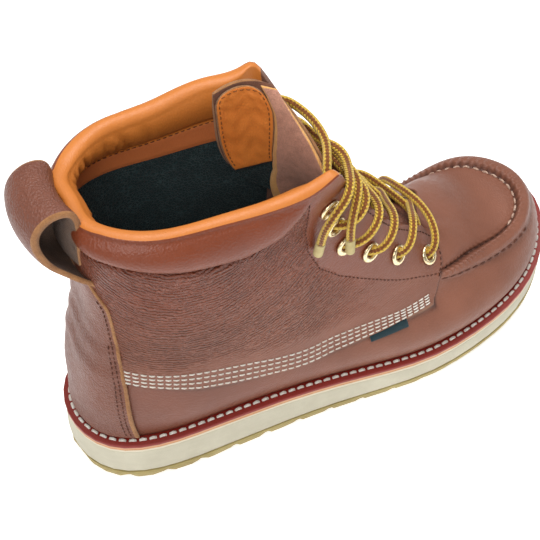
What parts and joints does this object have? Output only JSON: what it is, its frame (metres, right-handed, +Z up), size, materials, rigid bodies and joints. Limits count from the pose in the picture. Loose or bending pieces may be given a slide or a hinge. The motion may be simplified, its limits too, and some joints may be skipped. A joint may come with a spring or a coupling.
{
  "type": "work boot",
  "caption": "Ankle-high lace-up work boot, right foot: hollow leather upper with padded collar and raised toe seam, tongue, heel pull loop, stitched welt and thick wedge sole.",
  "frame": {"origin": "on the floor under the middle of the boot's box", "axes": "+X from heel to toe, +Y to the wearer's left, which is the inner side of this right boot, +Z up"},
  "size_m": [0.309, 0.111, 0.197],
  "materials": {
    "gum_rubber": "matte gum rubber",
    "wedge_rubber": "matte cream crepe",
    "midsole_board": "cut edge",
    "welt_strip": "dyed and stitched",
    "insole_leather": "smooth",
    "brown_leather": "oiled full grain",
    "strap_leather": "oiled full grain",
    "tongue_leather": "soft full grain",
    "eyelet_brass": "pale plated",
    "lace_cord": "round braid",
    "lace_tip": "smooth"
  },
  "bodies": {
    "root": {"tread": "gum_rubber", "wedge": "wedge_rubber", "midsole": "midsole_board", "welt": "welt_strip", "insole": "insole_leather", "upper": "brown_leather", "backstay": "strap_leather", "pull_loop": "strap_leather", "tongue": "tongue_leather", "eyelet_lateral_1": "eyelet_brass", "eyelet_lateral_2": "eyelet_brass", "eyelet_lateral_3": "eyelet_brass", "eyelet_lateral_4": "eyelet_brass", "eyelet_lateral_5": "eyelet_brass", "eyelet_lateral_6": "eyelet_brass", "eyelet_medial_1": "eyelet_brass", "eyelet_medial_2": "eyelet_brass", "eyelet_medial_3": "eyelet_brass", "eyelet_medial_4": "eyelet_brass", "eyelet_medial_5": "eyelet_brass", "eyelet_medial_6": "eyelet_brass", "lace_bar": "lace_cord", "lace_cross_1": "lace_cord", "lace_cross_2": "lace_cord", "lace_cross_3": "lace_cord", "lace_cross_4": "lace_cord", "lace_end_lateral": "lace_cord", "lace_end_medial": "lace_cord", "lace_tip_lateral": "lace_tip", "lace_tip_medial": "lace_tip"}
  },
  "joints": []
}
